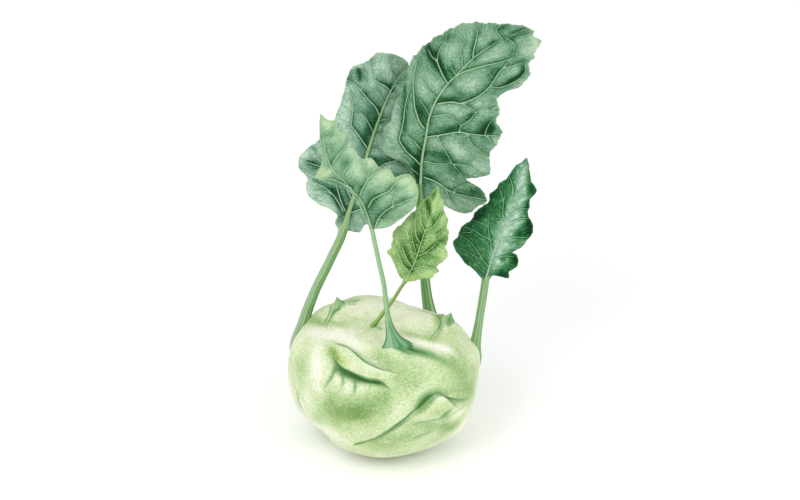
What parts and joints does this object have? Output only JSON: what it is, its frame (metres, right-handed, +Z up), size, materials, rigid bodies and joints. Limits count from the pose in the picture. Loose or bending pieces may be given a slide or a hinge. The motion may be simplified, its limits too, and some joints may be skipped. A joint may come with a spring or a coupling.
{
  "type": "kohlrabi",
  "caption": "Kohlrabi with a round pale green bulb, folded leaf scars and upright lobed leaves, resting on its flat cut root spot.",
  "frame": {"origin": "middle of the flat spot under the bulb where the root was cut, on which the kohlrabi rests", "axes": "+Z up, the viewer of the picture on the -Y side, +X to the viewer's right"},
  "size_m": [0.1267, 0.1486, 0.1888],
  "materials": {
    "bulb_skin": "waxy, cream to pale green",
    "blue_green_leaf": "matt with a bluish bloom",
    "pale_leaf": "matt, pale grey-green",
    "young_leaf": "satin, yellow-green",
    "dark_leaf": "satin, dark green with a pale midrib"
  },
  "bodies": {
    "root": {"bulb": "bulb_skin", "large_leaf": "blue_green_leaf", "left_leaf": "blue_green_leaf", "front_leaf": "pale_leaf", "young_leaf": "young_leaf", "right_leaf": "dark_leaf"}
  },
  "joints": []
}
